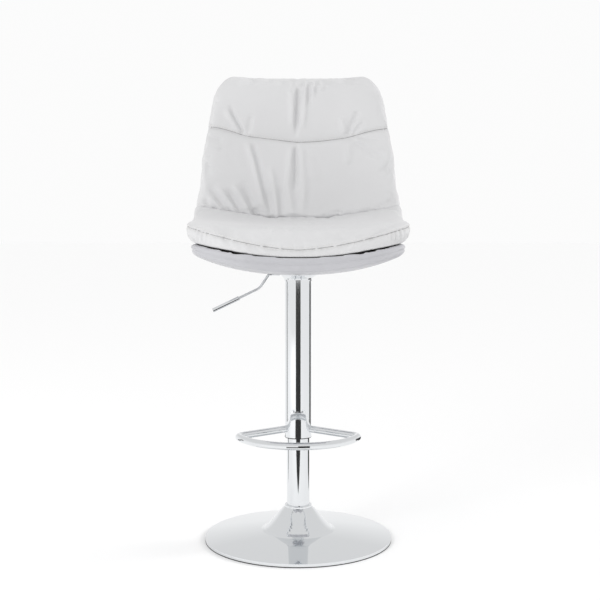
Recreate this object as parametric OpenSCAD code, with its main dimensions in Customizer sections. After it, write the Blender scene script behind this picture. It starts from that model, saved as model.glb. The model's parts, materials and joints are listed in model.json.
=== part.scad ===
// Adjustable swivel stool: a padded bucket seat on a gas lift column with a
// sleeve, a loop footrest, a release lever and a round trumpet base.
// The origin is on the floor under the column, +Z is up and the front is -Y.

/* [Base] */
// Diameter of the round base
base_d = 410; // [360:5:460]
// Thickness of the rubber ring under the rim
floor_ring_t = 2; // [1.5:0.5:4]
// Width of the rubber ring under the rim
floor_ring_w = 15; // [8:1:24]
// Sheet thickness of the base shell
base_wall = 2; // [1.5:0.1:2.5]
// Height of the straight edge at the rim
rim_h = 6; // [5.5:0.5:9]
// Rise of the flat dome from the rim to the trumpet
dome_rise = 19; // [14:1:32]
// Rise of the trumpet above the dome
flare_h = 49; // [40:1:60]
// Diameter at which the trumpet runs out into the dome
flare_d = 160; // [130:5:200]
// Thickness of the crossed steel bars
brace_t = 3; // [2:0.5:4]
// Width of the crossed steel bars
brace_w = 32; // [24:1:44]
// Wall of the welded socket around the column foot
socket_wall = 5; // [3:0.5:6]
// Height of the welded socket
socket_h = 50; // [36:1:54]

/* [Column] */
// Outer diameter of the fixed stand tube
stand_d = 50; // [46:1:52]
// Wall of the stand tube
stand_wall = 1.8; // [1.5:0.1:2.5]
// Top of the stand tube above the floor
stand_top = 455; // [440:1:465]
// Outer diameter of the sliding sleeve
sleeve_d = 57; // [56:0.5:60]
// Wall of the sliding sleeve
sleeve_wall = 1.5; // [1.2:0.1:1.8]
// Bottom edge of the sleeve with the seat at its middle height
sleeve_bottom = 232; // [225:1:240]
// Top edge of the sleeve with the seat at its middle height
sleeve_top = 577; // [560:1:600]
// Outer diameter of the gas cylinder
cylinder_d = 28; // [26:0.5:30]
// Wall of the gas cylinder
cylinder_wall = 1.5; // [1.2:0.1:2]
// Bottom of the gas cylinder with the seat at its middle height
cylinder_bottom = 200; // [190:1:205]
// Diameter of the piston rod
rod_d = 10; // [8:0.5:12]
// Length of the plastic bush in the stand tube
guide_l = 70; // [50:1:90]
// Radial clearance of every running fit
running_gap = 0.05; // [0.02:0.01:0.09]

/* [Thrust bearing] */
// Diameter of the bearing balls
ball_d = 4; // [3:0.5:5]
// Number of bearing balls
ball_count = 8; // [6:1:10]
// Radius of the circle that the balls run on
ball_track_r = 10; // [9.5:0.25:11]

/* [Footrest] */
// Diameter of the footrest tube
footrest_d = 15.5; // [12:0.5:18]
// Height of the footrest tube's centreline
footrest_z = 250; // [246:1:256]
// Distance of the footrest front from the column axis
footrest_reach = 190; // [160:1:220]
// Radius of the wide front arc
front_arc_r = 133; // [125:1:145]
// Radius of the two tight corners
corner_arc_r = 18; // [14:1:24]
// Half distance between the centres of the two corners
corner_x = 107; // [95:1:110]
// Height of the saddle that carries the footrest
saddle_h = 62; // [54:1:70]
// Thickness of the saddle in front of the sleeve
saddle_t = 5; // [4:0.5:7]

/* [Lever] */
// Diameter of the lever rod
lever_d = 6; // [5:0.5:6.5]
// Height of the lever's inner end
lever_z = 587; // [586:0.5:588]
// Distance of the lever pivot from the column axis
pivot_x = 19; // [17:0.5:20]
// Diameter of the lever pin
pin_d = 4; // [3:0.5:4.5]
// Diameter of the grip sleeve
grip_d = 9.6; // [8:0.2:12]
// Length of the grip sleeve
grip_l = 63; // [45:1:68]

/* [Seat] */
// Overall width of the seat cushion
seat_w = 460; // [420:5:500]
// Width of the top of the backrest
back_top_w = 368; // [328:4:400]
// Height of the top of the backrest
back_top_z = 1020; // [960:2:1060]
// Thickness of the seat cushion at its centre
seat_pad_t = 65; // [50:1:75]
// Thickness of the seat cushion at its sides
seat_side_t = 39; // [32:1:48]
// Thickness of the seat cushion at its front edge
seat_front_t = 20; // [14:1:30]
// Thickness of the back cushion
back_pad_t = 46; // [36:1:56]
// Thickness of the moulded board between the cushions and the shell
board_t = 10; // [8:0.5:12]
// Distance from the board's edge to the edge of the seat
board_inset = 28; // [22:1:40]
// Depth from the cushion down to the underside of the padded shell
shell_t = 30; // [26:0.5:36]
// Height by which the sides of the seat rise above its middle
side_rise = 44; // [30:1:50]
// Distance by which the sides of the back wrap forward
back_wrap = 52; // [40:1:60]
// Clearance between neighbouring soft pieces
soft_gap = 0.5; // [0.3:0.1:0.8]

/* [Seat plate] */
// Side of the square mounting plate
plate_w = 140; // [130:1:150]
// Thickness of the mounting plate
plate_t = 3; // [2:0.5:4]
// Underside of the mounting plate
plate_z = 598; // [597:0.5:599]
// Hole spacing of the four seat screws
screw_pitch = 110; // [96:1:116]
// Thread diameter of the seat screws
screw_d = 6; // [5:0.5:6]

/* [Hidden] */
$fn = 72;
chrome = "#dfe2e6";
steel = "#8d9196";
black = "#1c1c1e";
hide = "#eceaea";
shell_hide = "#dcdce0";
ply = "#c9a773";

base_r = base_d / 2;
stand_r = stand_d / 2;
stand_bore_r = stand_r - stand_wall;
sleeve_r = sleeve_d / 2;
sleeve_bore_r = sleeve_r - sleeve_wall;
cylinder_r = cylinder_d / 2;
cylinder_bore_r = cylinder_r - cylinder_wall;
rod_r = rod_d / 2;

// Base heights, from the floor up
brace_z = floor_ring_t;
socket_z = brace_z + brace_t;
web_z = socket_z + 7;
web_t = 3;
race_z = web_z + web_t;
race_t = 2;
race_r = ball_track_r + 4;
ball_z = race_z + race_t + ball_d / 2;
upper_race_z = race_z + race_t + ball_d;
bumper_z = upper_race_z + race_t;
bumper_h = 10;
clip_t = 1.5;
clip_z = web_z - 0.3 - clip_t;
clip_groove = 0.8;

// The trumpet's throat stands around the stand tube
throat_gap = 2.8;
throat_r = stand_r + throat_gap;
flare_shoulder = 1.3;
flare_root = 1.5;
dome_power = 1.7;
dome_steps = 28;
function flare_share(r) = min(1, max(0, (r - throat_r) / (flare_d / 2 - throat_r)));
function flare(r) = flare_h * pow(1 - pow(flare_share(r), flare_shoulder), flare_root);
function dome_z(r) = floor_ring_t + rim_h + dome_rise * (1 - pow(r / base_r, dome_power)) + flare(r);
function dome_slope(r) = (dome_z(r + 0.01) - dome_z(r - 0.01)) / 0.02;
function dome_in(r) =
    let (s = dome_slope(r), l = sqrt(1 + s * s))
    [r + base_wall * s / l, dome_z(r) - base_wall / l];
function dome_r(i) = throat_r * pow(base_r / throat_r, i / dome_steps);
throat_z = dome_z(throat_r);
plug_r = dome_in(throat_r)[0] - 0.2;
plug_h = 6;
collar_r = dome_r(1);
collar_h = 3.4;
collar_bevel = 1.2;

// Piston: its top stop leaves the last 2 mm of the cylinder free
lift_up = 125;
rod_guide_l = 22;
end_gap = 2;
piston_z = cylinder_bottom + rod_guide_l + lift_up + end_gap;
piston_l = 20;
neck_r = rod_r - 1;

// Top of the gas cylinder and its taper in the housing's hub
hub_l = 32;
hub_z = sleeve_top - hub_l;
taper = 0.8;
crown_t = 17;
stem_r = 3.4;
button_z = lever_z - lever_d / 2 - 0.1;
stem_z = sleeve_top - 11;
disc_t = 3;
cup_wall = 3;
cup_r = sleeve_r;
slot_w = 8.4;
slot_z = lever_z - lever_d / 2 - 3;
pin_r = pin_d / 2;
boss_r = pin_r + 2.5;
boss_w = 9;
lug_t = 3;
lug_gap = 0.3;

// Bell cover
bell_r = 42;
bell_wall = 1.2;
bell_z = sleeve_top - 4;
bell_lip_z = lever_z + 0.5;
bell_gap = 0.5;

// Lever route in the XZ plane: [x, z, bend radius]
lever_path = [[4, lever_z, 0], [-63, lever_z, 10], [-84, 556, 22], [-183, 508.6, 0]];

// Soft sections: columns across and rows along
columns = 16;
edge_share = 0.97;
crown_power = 2.5;

// ---------- curves ----------
function bezier(p, t) =
    pow(1 - t, 3) * p[0] + 3 * pow(1 - t, 2) * t * p[1] + 3 * (1 - t) * t * t * p[2] + pow(t, 3) * p[3];

// Side view of the face between the board and the cushions, as [y, z] handles.
// It runs from 0 at the seat's front edge to 1 at the corner and 2 at the back's top.
corner_y = 165;
corner_z = 662;
seat_curve = [[-212, 640], [-120, 612], [115, 617], [corner_y, corner_z]];
back_curve = [[corner_y, corner_z], [192, 686], [201, 830], [222, back_top_z]];
corner_tilt = 45;
back_tilt = 82;
dish_power = 2.2;
wrap_loss = 0.55;
function spine(u) = u <= 1 ? bezier(seat_curve, u) : bezier(back_curve, u - 1);
// Direction of the thickness at u, from straight up towards the front
function tilt(u) = u <= 1 ? corner_tilt * u * u : corner_tilt + (back_tilt - corner_tilt) * (u - 1);
function rise(u) =
    u <= 1 ? side_rise + (back_wrap - side_rise) * pow(u, 3)
           : back_wrap * (1 - wrap_loss * pow(u - 1, 3));

// Rounded ends: share of the width that is left at distance d (0 to 1) from an end
function end_share(d, power) = d >= 1 ? 1 : pow(1 - pow(1 - max(d, 0), power), 1 / power);
front_zone = 0.32;
front_flat = 0.26;
front_round = 2.4;
top_zone = 0.13;
top_corner = 40;
back_taper = 2.4;
function half_w(u) =
    u <= 1 ? seat_w / 2 * (front_flat + (1 - front_flat) * end_share(u / front_zone, front_round))
           : seat_w / 2 - (seat_w - back_top_w) / 2 * pow(u - 1, back_taper)
             - top_corner * (1 - end_share((2 - u) / top_zone, 2));

// Point at share s of the inset width, u along the spine and n out of the face
function at(s, u, n, inset) =
    let (p = spine(u), a = tilt(u), x = s * (half_w(u) - inset),
        h = n + rise(u) * pow(abs(x) / (seat_w / 2), dish_power))
    [x, p[0] - h * sin(a), p[1] + h * cos(a)];

// A row of share values from one edge to the other
function shares(k) = [for (i = [0 : columns]) k * (2 * i / columns - 1)];
function reversed(v) = [for (i = [len(v) - 1 : -1 : 0]) v[i]];
function eased(i, n) = (1 - cos(180 * i / n)) / 2;

// Closed solid through closed rings that all have the same number of points
module skin(rings) {
    m = len(rings[0]);
    last = len(rings) - 1;
    points = [for (ring = rings) for (p = ring) p];
    sides = [for (r = [0 : last - 1]) for (i = [0 : m - 1])
        let (a = r * m + i, b = r * m + (i + 1) % m)
        each [[a, a + m, b], [b, a + m, b + m]]];
    caps = [[for (i = [0 : m - 1]) i], [for (i = [m - 1 : -1 : 0]) last * m + i]];
    polyhedron(points = points, faces = concat(caps, sides), convexity = 6);
}

// Ring of a soft slab between the heights low(s) and high(s), rounded at its sides
function slab_ring(u, low, high, inset) =
    let (mid = (low + high) / 2)
    concat(
        [for (s = shares(edge_share)) at(s, u, low, inset)],
        [at(1, u, mid, inset)],
        [for (s = reversed(shares(edge_share))) at(s, u, high, inset)],
        [at(-1, u, mid, inset)]);

// Cushion ring: flat below, crowned on top
function pad_ring(u, inset, thick) =
    concat(
        [for (s = shares(edge_share)) at(s, u, soft_gap, inset)],
        [at(1, u, thick[1] / 2, inset)],
        [for (s = reversed(shares(edge_share)))
            at(s, u, thick[1] + (thick[0] - thick[1]) * (1 - pow(abs(s), crown_power)), inset)],
        [at(-1, u, thick[1] / 2, inset)]);

// ---------- base ----------
module base_dome() {
    outer = [for (i = [0 : dome_steps]) [dome_r(i), dome_z(dome_r(i))]];
    inner = [for (i = [dome_steps - 1 : -1 : 0]) dome_in(dome_r(i))];
    rim_r = base_r - base_wall;
    color(chrome)
        rotate_extrude($fn = 144)
            polygon(concat(outer, [[base_r, floor_ring_t], [rim_r, floor_ring_t],
                [rim_r, dome_z(base_r) - base_wall]], inner));
}

module floor_ring() {
    color(black)
        difference() {
            cylinder(r = base_r, h = floor_ring_t);
            translate([0, 0, -1]) cylinder(r = base_r - floor_ring_w, h = floor_ring_t + 2);
        }
}

module base_brace() {
    color(steel)
        difference() {
            intersection() {
                translate([0, 0, brace_z]) cylinder(r = base_r - base_wall, h = brace_t);
                union()
                    for (a = [45, 135])
                        rotate([0, 0, a])
                            translate([-base_r, -brace_w / 2, brace_z]) cube([base_d, brace_w, brace_t]);
            }
            translate([0, 0, brace_z - 1]) cylinder(r = race_r, h = brace_t + 2);
        }
}

module base_socket() {
    color(steel)
        difference() {
            translate([0, 0, socket_z]) cylinder(r = stand_r + socket_wall, h = socket_h);
            translate([0, 0, socket_z - 1]) cylinder(r = stand_r, h = socket_h + 2);
        }
}

module collar_ring() {
    color(chrome)
        rotate_extrude()
            polygon([[stand_r, throat_z - plug_h], [plug_r, throat_z - plug_h], [plug_r, throat_z],
                [throat_r, throat_z], [collar_r, dome_z(collar_r)], [collar_r, throat_z + collar_h - collar_bevel],
                [collar_r - collar_bevel, throat_z + collar_h], [stand_r, throat_z + collar_h]]);
}

// ---------- column ----------
foot_step = 3;
module stand_tube() {
    foot_z = socket_z + foot_step;
    color(chrome)
        difference() {
            translate([0, 0, foot_z]) cylinder(r = stand_r, h = stand_top - foot_z);
            translate([0, 0, foot_z - 1]) cylinder(r = stand_bore_r, h = web_z - foot_z + 1);
            translate([0, 0, web_z + web_t]) cylinder(r = stand_bore_r, h = stand_top);
            translate([0, 0, web_z - 1]) cylinder(r = rod_r + running_gap, h = web_t + 2);
        }
}

bush_cap_t = 2;
module guide_bush() {
    color(black)
        difference() {
            union() {
                translate([0, 0, stand_top - guide_l]) cylinder(r = stand_bore_r, h = guide_l);
                translate([0, 0, stand_top]) cylinder(r = stand_r, h = bush_cap_t);
            }
            translate([0, 0, stand_top - guide_l - 1]) cylinder(r = cylinder_r + running_gap, h = guide_l + 4);
        }
}

module washer(z, h, outer, inner) {
    difference() {
        translate([0, 0, z]) cylinder(r = outer, h = h);
        translate([0, 0, z - 1]) cylinder(r = inner, h = h + 2);
    }
}

module lower_race() {
    color(steel) washer(race_z, race_t, race_r, rod_r + 0.6);
}

module upper_race() {
    color(steel) washer(upper_race_z, race_t, race_r, rod_r);
}

module on_track() {
    for (i = [0 : ball_count - 1])
        rotate([0, 0, 360 * i / ball_count])
            translate([ball_track_r, 0, ball_z])
                children();
}

module bearing_cage() {
    cage_h = ball_d * 0.4;
    color(black)
        difference() {
            washer(ball_z - cage_h / 2, cage_h, race_r - 0.5, rod_r + 1);
            on_track() translate([0, 0, -ball_d]) cylinder(r = ball_d / 2 + 0.1, h = 2 * ball_d);
        }
}

module bearing_balls() {
    color(steel) on_track() sphere(d = ball_d - 0.04, $fn = 32);
}

module rod_clip() {
    color(black)
        difference() {
            washer(clip_z, clip_t, rod_r + 4, rod_r - clip_groove);
            translate([0, -(rod_r - clip_groove), clip_z - 1]) cube([rod_d, 2 * (rod_r - clip_groove), clip_t + 2]);
        }
}

module rubber_bumper() {
    color(black) washer(bumper_z, bumper_h, race_r - 2, rod_r);
}

module piston_rod() {
    foot = clip_z - 1.2;
    color(chrome)
        difference() {
            union() {
                translate([0, 0, foot]) cylinder(r = rod_r, h = piston_z - foot);
                translate([0, 0, piston_z]) cylinder(r = neck_r, h = piston_l);
            }
            washer(clip_z, clip_t, rod_r + 1, rod_r - clip_groove);
        }
}

module piston() {
    color(black) washer(piston_z, piston_l, cylinder_bore_r - running_gap, neck_r);
}

module gas_cylinder() {
    top_z = sleeve_top;
    color(steel)
        difference() {
            union() {
                translate([0, 0, cylinder_bottom]) cylinder(r = cylinder_r, h = hub_z - cylinder_bottom);
                translate([0, 0, hub_z]) cylinder(r1 = cylinder_r, r2 = cylinder_r - taper, h = hub_l);
            }
            translate([0, 0, cylinder_bottom - 1])
                cylinder(r = cylinder_bore_r, h = top_z - crown_t - cylinder_bottom + 1);
            translate([0, 0, top_z - crown_t - 1]) cylinder(r = stem_r + running_gap, h = crown_t + 2);
        }
}

module rod_guide() {
    color(black) washer(cylinder_bottom, rod_guide_l, cylinder_bore_r, rod_r + running_gap);
}

module valve_button() {
    color(steel) translate([0, 0, stem_z]) cylinder(r = stem_r, h = button_z - stem_z);
}

module upper_sleeve() {
    color(chrome) washer(sleeve_bottom, sleeve_top - sleeve_bottom, sleeve_r, sleeve_bore_r);
}

module sleeve_bush() {
    lip_t = 3;
    lip_out = 0.5;
    bush_l = 30;
    color(black)
        difference() {
            union() {
                translate([0, 0, sleeve_bottom - lip_t]) cylinder(r = sleeve_r + lip_out, h = lip_t);
                translate([0, 0, sleeve_bottom]) cylinder(r = sleeve_bore_r, h = bush_l);
            }
            translate([0, 0, sleeve_bottom - lip_t - 1]) cylinder(r = stand_r + running_gap, h = lip_t + bush_l + 2);
        }
}

// ---------- footrest ----------
saddle_r = sleeve_r + saddle_t;
saddle_back_y = -8;
saddle_low_w = 29;
saddle_top_w = 16;
saddle_round = 7;

// Solid block of the saddle, which the footrest legs end against
module saddle_block() {
    top = sleeve_bottom + saddle_h;
    intersection() {
        translate([0, 0, sleeve_bottom]) cylinder(r = saddle_r, h = saddle_h);
        translate([0, saddle_back_y, 0])
            rotate([90, 0, 0])
                linear_extrude(saddle_r)
                    union() {
                        polygon([[-saddle_low_w, sleeve_bottom], [saddle_low_w, sleeve_bottom],
                            [saddle_low_w - 3, footrest_z + 10], [saddle_top_w + 1, top - saddle_round],
                            [-saddle_top_w - 1, top - saddle_round], [3 - saddle_low_w, footrest_z + 10]]);
                        translate([0, top - saddle_round - 1]) square([2 * saddle_top_w, 4], center = true);
                        for (x = [-1, 1])
                            translate([x * (saddle_top_w - saddle_round), top - saddle_round])
                                circle(r = saddle_round);
                        translate([0, top - saddle_round / 2])
                            square([2 * (saddle_top_w - saddle_round), saddle_round], center = true);
                    }
    }
}

module footrest_bracket() {
    top = sleeve_bottom + saddle_h;
    pocket_w = 22;
    pocket_h = 14;
    notch_h = 5;
    color(chrome)
        difference() {
            saddle_block();
            translate([0, 0, sleeve_bottom - 1]) cylinder(r = sleeve_r, h = saddle_h + 2);
            // Open pocket at the top, with a lower front wall
            intersection() {
                translate([0, 0, top - pocket_h]) cylinder(r = saddle_r - 1.5, h = 20);
                translate([-pocket_w / 2, -saddle_r, top - pocket_h]) cube([pocket_w, saddle_r, 20]);
            }
            translate([-pocket_w / 2, -saddle_r - 1, top - notch_h]) cube([pocket_w, saddle_r, 20]);
        }
}

// Round bars follow a flat route: a list of [x, y, heading] with true arcs
bar_sides = 24;
function arc_route(centre, radius, a, b, steps) =
    let (turn = b > a ? 90 : -90)
    [for (i = [0 : steps]) let (w = a + (b - a) * i / steps)
        [centre[0] + radius * cos(w), centre[1] + radius * sin(w), w + turn]];
function across(route) = [for (i = [len(route) - 1 : -1 : 0]) [-route[i][0], route[i][1], -route[i][2]]];
function bar_ring(p, d) =
    [for (k = [0 : bar_sides - 1]) let (w = 360 * k / bar_sides, r = d / 2)
        [p[0] - r * cos(w) * sin(p[2]), p[1] + r * cos(w) * cos(p[2]), r * sin(w)]];
module bar(route, d) {
    skin([for (p = route) bar_ring(p, d)]);
}

module footrest_ring() {
    centre_y = front_arc_r - footrest_reach;
    inner_r = front_arc_r - corner_arc_r;
    corner_a = asin(corner_x / inner_r);
    c = [corner_x, centre_y - inner_r * cos(corner_a)];
    root = [16, -10];
    reach = norm(c - root);
    // The leg touches the corner circle on its outer side
    leg_a = atan2(c[1] - root[1], c[0] - root[0]) + asin(corner_arc_r / reach);
    leg = concat([[root[0], root[1], leg_a]], arc_route(c, corner_arc_r, leg_a + 90, corner_a - 90, 8));
    front = arc_route([0, centre_y], front_arc_r, corner_a - 90, -90 - corner_a, 28);
    middle = [for (i = [1 : len(front) - 2]) front[i]];
    color(chrome)
        difference() {
            translate([0, 0, footrest_z]) bar(concat(leg, middle, across(leg)), footrest_d);
            saddle_block();
            translate([0, 0, footrest_z - footrest_d]) cylinder(r = sleeve_r, h = 2 * footrest_d);
        }
}

// ---------- mechanism ----------
module mechanism_housing() {
    top_r = cylinder_r - taper;
    cup_z = sleeve_top + disc_t;
    color(steel)
        difference() {
            union() {
                translate([0, 0, hub_z]) cylinder(r = cylinder_r + 5, h = hub_l + disc_t);
                translate([0, 0, sleeve_top]) cylinder(r = cup_r, h = disc_t);
                washer(cup_z, plate_z - cup_z, cup_r, cup_r - cup_wall);
                intersection() {
                    translate([0, 0, cup_z]) cylinder(r = cup_r - 1, h = plate_z - cup_z - 1);
                    for (side = [-1, 1])
                        translate([-pivot_x - 5, side * (boss_w / 2 + lug_gap + lug_t / 2) - lug_t / 2, cup_z])
                            cube([10, lug_t, plate_z - cup_z - 1]);
                }
            }
            translate([0, 0, hub_z]) cylinder(r1 = cylinder_r, r2 = top_r, h = hub_l);
            translate([0, 0, sleeve_top - 0.001]) cylinder(r = top_r, h = disc_t + 1);
            translate([-cup_r - 5, -slot_w / 2, slot_z]) cube([10, slot_w, plate_z]);
            translate([-pivot_x, 0, lever_z]) rotate([90, 0, 0]) cylinder(r = pin_r, h = 40, center = true);
        }
}

module bell_cover() {
    neck_r = sleeve_r + 0.1;
    top_z = plate_z - bell_gap;
    flare_in = [[neck_r, bell_z], [neck_r, sleeve_top], [neck_r + 2, sleeve_top + 3.5],
        [neck_r + 7, sleeve_top + 7], [bell_r - bell_wall, bell_lip_z], [bell_r - bell_wall, top_z]];
    flare_out = [[bell_r, top_z], [bell_r, bell_lip_z - 0.5], [neck_r + 7.6, sleeve_top + 5.8],
        [neck_r + 3.2, sleeve_top + 2.6], [neck_r + bell_wall, sleeve_top - 0.5], [neck_r + bell_wall, bell_z]];
    color(chrome)
        difference() {
            rotate_extrude() polygon(concat(flare_in, flare_out));
            translate([-bell_r - 5, -slot_w / 2, slot_z]) cube([20, slot_w, plate_z]);
        }
}

function nut_u(y, lo, hi, n) =
    let (mid = (lo + hi) / 2)
    n == 0 ? mid : at(0.27, mid, 0, 0)[1] < y ? nut_u(y, mid, hi, n - 1) : nut_u(y, lo, mid, n - 1);
half_pitch = screw_pitch / 2;
nut_share = screw_pitch / seat_w;
nut_flange_t = 1.5;
nut_flange_r = 9;
nut_barrel_r = 4;
nut_depth = 3;
head_h = 3;
// Height of the flange seat in the board at the front and the rear pair
function nut_z(y) = at(nut_share, nut_u(y, 0, 1, 20), 0, 0)[2] - nut_depth - nut_flange_t;

module at_screws() {
    for (x = [-1, 1])
        for (y = [-1, 1])
            translate([x * half_pitch, y * half_pitch, 0]) {
                $nut_z = nut_z(y * half_pitch);
                children();
            }
}

module seat_plate() {
    corner = 12;
    inner = plate_w / 2 - corner;
    color(steel)
        difference() {
            translate([0, 0, plate_z])
                linear_extrude(plate_t)
                    union() {
                        square([plate_w, 2 * inner], center = true);
                        square([2 * inner, plate_w], center = true);
                        for (x = [-inner, inner])
                            for (y = [-inner, inner])
                                translate([x, y]) circle(r = corner);
                    }
            at_screws() translate([0, 0, plate_z - 1]) cylinder(d = screw_d + 0.6, h = plate_t + 2);
        }
}

module seat_screws() {
    color(steel)
        at_screws() {
            translate([0, 0, plate_z - head_h]) cylinder(d = 2 * screw_d, h = head_h);
            translate([0, 0, plate_z]) cylinder(d = screw_d, h = $nut_z - plate_z);
        }
}

module t_nuts() {
    color(steel)
        at_screws()
            difference() {
                union() {
                    translate([0, 0, $nut_z]) cylinder(r = nut_flange_r, h = nut_flange_t);
                    translate([0, 0, $nut_z - nut_depth]) cylinder(r = nut_barrel_r, h = nut_depth);
                }
                translate([0, 0, $nut_z - nut_depth - 1]) cylinder(d = screw_d, h = nut_depth + nut_flange_t + 2);
            }
}

// Route of the lever in its own plane, with an arc at each bend
function xz(i) = [lever_path[i][0], lever_path[i][1]];
function heading(i) = atan2(xz(i + 1)[1] - xz(i)[1], xz(i + 1)[0] - xz(i)[0]);
function wrapped(a) = a > 180 ? a - 360 : a < -180 ? a + 360 : a;
function bend(i) =
    let (a = heading(i - 1), w = wrapped(heading(i) - a), r = lever_path[i][2],
        start = xz(i) - r * tan(abs(w) / 2) * [cos(a), sin(a)],
        centre = start + sign(w) * r * [-sin(a), cos(a)],
        from = a - sign(w) * 90)
    arc_route(centre, r, from, from + w, 8);
lever_route = concat(
    [concat(xz(0), heading(0))], bend(1), bend(2), [concat(xz(3), heading(2))]);

grip_end = [lever_path[3][0], 0, lever_path[3][1]];
grip_dir = [lever_path[2][0] - lever_path[3][0], 0, lever_path[2][1] - lever_path[3][1]];
grip_tilt = atan2(grip_dir[0], grip_dir[2]);

module lever_rod() {
    color(chrome)
        difference() {
            union() {
                rotate([90, 0, 0]) bar(lever_route, lever_d);
                translate([-pivot_x, 0, lever_z])
                    rotate([90, 0, 0]) cylinder(r = boss_r, h = boss_w, center = true);
            }
            translate([-pivot_x, 0, lever_z])
                rotate([90, 0, 0]) cylinder(r = pin_r + running_gap, h = boss_w + 2, center = true);
        }
}

module lever_grip() {
    color(chrome)
        translate(grip_end)
            rotate([0, grip_tilt, 0])
                difference() {
                    translate([0, 0, -2]) cylinder(d = grip_d, h = grip_l);
                    cylinder(d = lever_d, h = grip_l);
                }
}

module lever_pin() {
    pin_l = boss_w + 2 * (lug_gap + lug_t);
    color(steel)
        translate([-pivot_x, 0, lever_z])
            rotate([90, 0, 0]) cylinder(r = pin_r, h = pin_l, center = true);
}

// ---------- seat ----------
// Rows along the spine, shared by every soft piece so that their faces stay parallel
row_count = 13;
seat_rows = [for (i = [0 : row_count]) 0.004 + 0.986 * eased(i, row_count)];
back_rows = [for (i = [0 : row_count]) 1.006 + 0.988 * eased(i, row_count)];
all_rows = concat(seat_rows, back_rows);
last_row = len(all_rows) - 1;
board_margin = 3;

module seat_board() {
    color(ply)
        difference() {
            skin([for (i = [board_margin : last_row - board_margin])
                slab_ring(all_rows[i], -board_t, 0, board_inset)]);
            at_screws() {
                translate([0, 0, plate_z]) cylinder(r = nut_barrel_r, h = $nut_z - plate_z);
                translate([0, 0, $nut_z]) cylinder(r = nut_flange_r, h = 40);
            }
        }
}

// The shell holds the board in a shallow recess and reaches up to the cushions at its lip
module padded_shell() {
    inset = 6;
    lip_inset = board_inset - 2;
    belly_share = 0.9;
    belly_lift = 0.82;
    function deep(i) = i >= board_margin - 1 && i <= last_row - board_margin + 1 ? board_t + soft_gap : 0.5;
    function under(u) = -shell_t * (u > 1 ? 1.3 - 0.3 * u : 1);
    function ring(i) =
        let (u = all_rows[i], low = under(u))
        concat(
            [for (s = shares(edge_share)) at(s, u, abs(s) > belly_share ? low * belly_lift : low, inset)],
            [at(1, u, low / 2, inset), at(edge_share, u, 0, inset), at(1, u, 0, lip_inset)],
            [for (s = reversed(shares(1))) at(s, u, -deep(i), lip_inset)],
            [at(-1, u, 0, lip_inset), at(-edge_share, u, 0, inset), at(-1, u, low / 2, inset)]);
    pocket_w = plate_w + 2;
    pocket_h = 40;
    color(shell_hide)
        difference() {
            skin([for (i = [0 : last_row]) ring(i)]);
            translate([-pocket_w / 2, -pocket_w / 2, plate_z + plate_t - pocket_h]) cube([pocket_w, pocket_w, pocket_h]);
            at_screws() translate([0, 0, plate_z]) cylinder(r = nut_barrel_r + 0.5, h = $nut_z - plate_z);
        }
}

module seat_cushion() {
    function thick(u) =
        let (front = end_share(u / 0.22, 2), rear = 1 - 0.12 * pow(u, 8))
        [seat_front_t + (seat_pad_t - seat_front_t) * front * rear,
         seat_front_t + (seat_side_t - seat_front_t) * front + (seat_pad_t - seat_side_t) * pow(u, 4)];
    color(hide) skin([for (u = seat_rows) pad_ring(u, 0, thick(u))]);
}

module back_cushion() {
    side_share = 0.85;
    function end_thin(t) = 0.45 + 0.55 * end_share((1 - t) / 0.12, 2);
    function thick(t) =
        let (root = pow(1 - t, 3), side_t = back_pad_t * side_share)
        [(back_pad_t + (seat_pad_t - back_pad_t) * root) * end_thin(t),
         (side_t + (seat_pad_t - side_t) * root) * end_thin(t)];
    color(hide) skin([for (u = back_rows) pad_ring(u, 4, thick(u - 1))]);
}

base_dome();
floor_ring();
base_brace();
base_socket();
collar_ring();
stand_tube();
guide_bush();
lower_race();
bearing_cage();
bearing_balls();
upper_race();
rod_clip();
rubber_bumper();
piston_rod();
piston();
gas_cylinder();
rod_guide();
valve_button();
upper_sleeve();
sleeve_bush();
footrest_ring();
footrest_bracket();
bell_cover();
mechanism_housing();
seat_plate();
lever_rod();
lever_grip();
lever_pin();
seat_board();
padded_shell();
seat_cushion();
back_cushion();
seat_screws();
t_nuts();
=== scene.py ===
"""Adjustable swivel stool: upholstered bucket seat on a chromed gas lift column."""
import json
from math import cos, pi, radians, sin, tau

import bmesh
import bpy
import numpy as np
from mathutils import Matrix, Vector
from mathutils.bvhtree import BVHTree


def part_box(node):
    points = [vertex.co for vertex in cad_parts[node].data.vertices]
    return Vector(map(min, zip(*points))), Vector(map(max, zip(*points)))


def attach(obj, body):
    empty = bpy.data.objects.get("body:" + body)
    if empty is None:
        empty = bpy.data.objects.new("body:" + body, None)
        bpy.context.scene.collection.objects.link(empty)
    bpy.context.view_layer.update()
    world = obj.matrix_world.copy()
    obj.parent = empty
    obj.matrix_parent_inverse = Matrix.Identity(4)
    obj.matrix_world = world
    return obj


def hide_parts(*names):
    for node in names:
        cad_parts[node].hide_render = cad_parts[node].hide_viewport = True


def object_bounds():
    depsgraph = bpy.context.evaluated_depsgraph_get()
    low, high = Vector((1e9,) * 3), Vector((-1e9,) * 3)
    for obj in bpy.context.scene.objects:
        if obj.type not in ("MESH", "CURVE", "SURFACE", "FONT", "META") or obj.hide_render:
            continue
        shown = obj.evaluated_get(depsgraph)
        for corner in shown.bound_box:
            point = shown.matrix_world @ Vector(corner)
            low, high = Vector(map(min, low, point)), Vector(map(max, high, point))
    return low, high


bl_info = {
    "name": "Adjustable Swivel Stool",
    "version": (1, 0, 0),
    "blender": (4, 5, 0),
    "location": "3D View > Sidebar > Stool",
    "description": "Upholstery, finishes and studio for a bar stool built around its frame",
    "category": "Add Mesh",
}

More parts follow.
